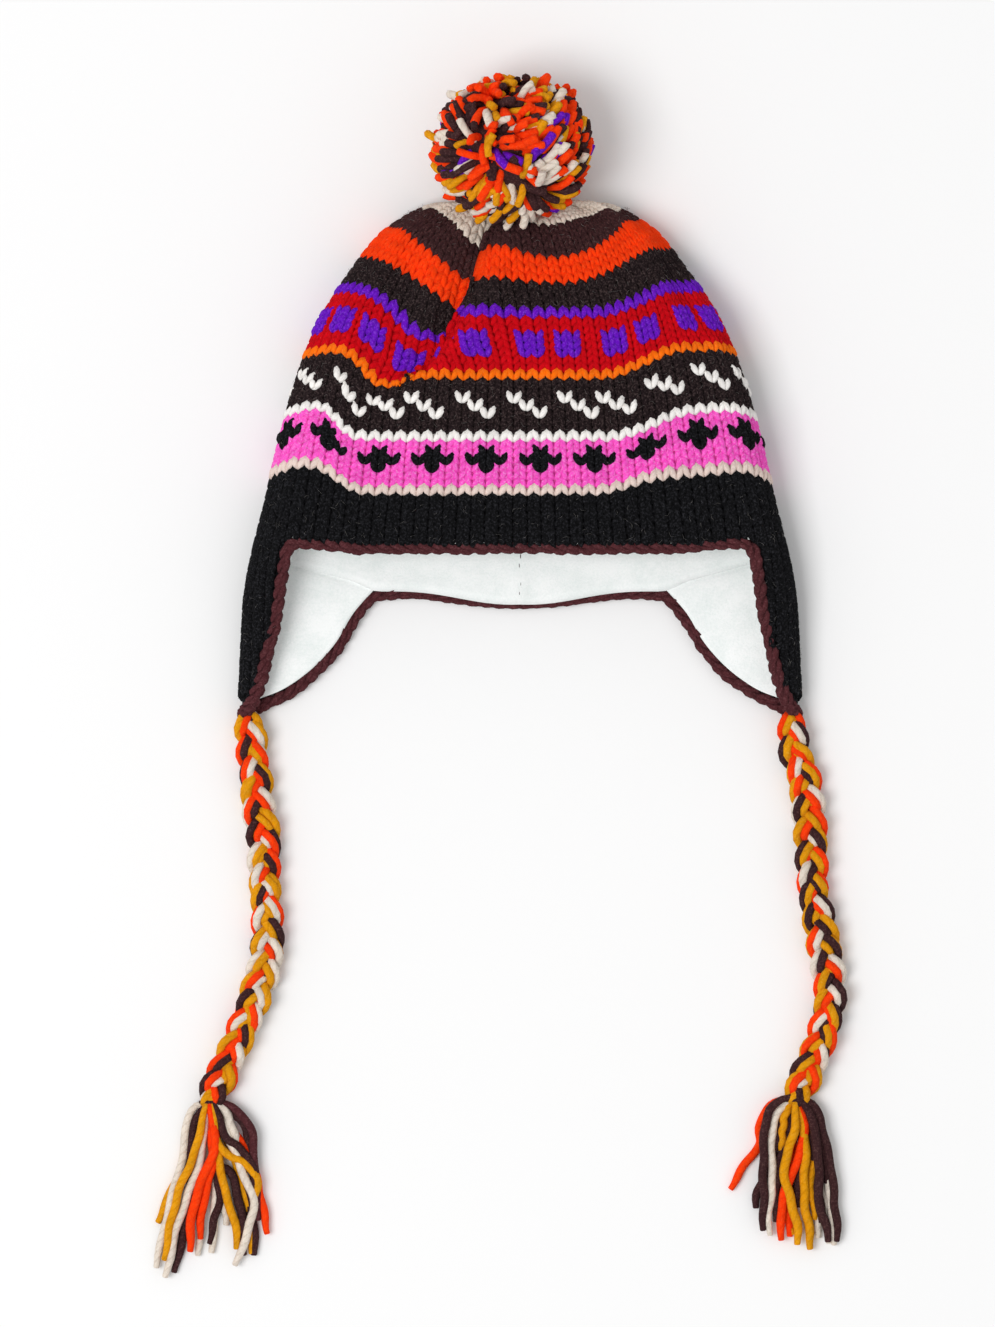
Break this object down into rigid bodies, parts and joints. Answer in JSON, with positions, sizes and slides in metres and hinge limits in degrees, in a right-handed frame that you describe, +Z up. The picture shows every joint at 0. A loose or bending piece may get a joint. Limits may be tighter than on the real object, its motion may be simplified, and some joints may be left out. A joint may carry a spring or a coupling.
{
  "type": "pom-pom hat",
  "caption": "Hand-knitted ear-flap hat with fleece lining, yarn pompom and two braided tassel ties, lying flat on its back.",
  "frame": {"origin": "on the surface that the hat lies on, below the middle of its length from pompom to flap tips and of its width", "axes": "+Y towards the pompom, +Z up from the surface through the front of the hat, +X to the right seen from above"},
  "size_m": [0.3627, 0.6285, 0.0834],
  "materials": {
    "wool_knit": "stranded hand-knitted wool in coloured bands",
    "black_wool_knit": "hand-knitted wool",
    "white_fleece": "short-pile fleece",
    "maroon_crochet": "crocheted wool edging",
    "mixed_wool_yarn": "cut ends of thick wool yarn in mixed colours",
    "braided_wool_yarn": "braided thick wool yarn in mixed colours"
  },
  "bodies": {
    "root": {"crown": "wool_knit", "ear_flap_left": "black_wool_knit", "ear_flap_right": "black_wool_knit", "lining_crown": "white_fleece", "lining_flap_left": "white_fleece", "lining_flap_right": "white_fleece", "edging": "maroon_crochet", "pompom": "mixed_wool_yarn", "braid_left": "braided_wool_yarn", "braid_right": "braided_wool_yarn", "tassel_left": "mixed_wool_yarn", "tassel_right": "mixed_wool_yarn"}
  },
  "joints": []
}
